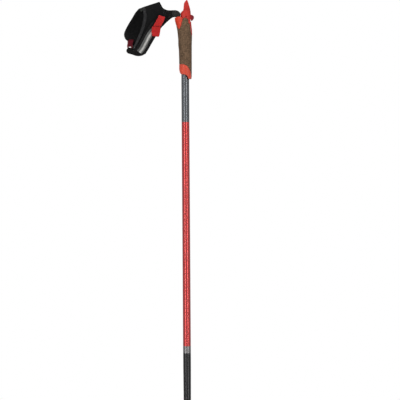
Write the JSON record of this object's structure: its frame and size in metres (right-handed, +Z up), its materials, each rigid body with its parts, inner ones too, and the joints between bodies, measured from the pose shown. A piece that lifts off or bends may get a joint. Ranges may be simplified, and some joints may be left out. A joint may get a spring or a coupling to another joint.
{
  "type": "ski pole",
  "caption": "Ski pole with a tapered shaft, an oval cork grip with a sprung release lever, a hand strap on a swinging clip, and a tip with a small snow basket.",
  "frame": {"origin": "on the shaft's axis at the middle of the hand hold", "axes": "+Z up along the shaft towards the grip's horn, +X towards the front of the grip, +Y towards the far panel of the strap; the strap hangs on the -X side"},
  "size_m": [0.1542, 0.0626, 1.3298],
  "materials": {
    "shaft_paint": "glossy lacquer over the tube: grey at the top, red in the middle, a light ring, black below",
    "cork": "fine pressed cork, matte",
    "red_plastic": "satin moulded plastic",
    "orange_plastic": "satin moulded plastic",
    "dark_red_rubber": "soft touch",
    "black_plastic": "satin moulded plastic",
    "black_fabric": "woven nylon over foam, matte",
    "grey_binding": "ribbed binding tape",
    "grey_rubber": "satin rubber print on webbing",
    "red_webbing": "woven webbing",
    "steel": "ground"
  },
  "bodies": {
    "root": {"shaft_tube": "shaft_paint", "grip_core": "orange_plastic", "cork_sleeve": "cork", "lower_collar": "orange_plastic", "grip_head": "red_plastic", "lever_pin": "steel", "lever_spring": "steel", "loop_clip": "black_plastic", "clip_bar": "steel", "basket": "black_plastic", "tip_ferrule": "black_plastic", "carbide_tip": "steel"},
    "lever": {"release_lever": "red_plastic", "thumb_pad": "dark_red_rubber"},
    "strap": {"neck_webbing": "black_fabric", "hand_panel_near": "black_fabric", "hand_panel_far": "black_fabric", "rim_binding_near": "grey_binding", "rim_binding_far": "grey_binding", "top_seam_tape": "grey_binding", "bottom_seam_tape": "grey_binding", "loop_pad": "black_fabric", "hook_pad": "black_fabric", "closing_band": "black_fabric", "band_patch": "grey_rubber", "band_ring": "red_plastic", "ring_webbing": "red_webbing", "pull_tab_upper": "red_webbing"},
    "tab": {"pull_tab_lower": "red_webbing"}
  },
  "joints": [
    {"name": "strap_swing", "type": "hinge", "parent": "root", "child": "strap", "pos_m": [-0.02, 0, 0.0649], "axis": [0, -1, 0], "range_deg": [-60, 24]},
    {"name": "lever_press", "type": "hinge", "parent": "root", "child": "lever", "pos_m": [0.003, 0, 0.058], "axis": [0, 1, 0], "range_deg": [0, 9], "stiffness_Nm_per_rad": 0.6, "springref_deg": -5.73, "deforming": ["lever_spring"]},
    {"name": "tab_flip", "type": "hinge", "parent": "strap", "child": "tab", "pos_m": [-0.0581, -0.02298, 0.038], "axis": [-0.915, -0.4035, 0], "range_deg": [0, 110]}
  ]
}
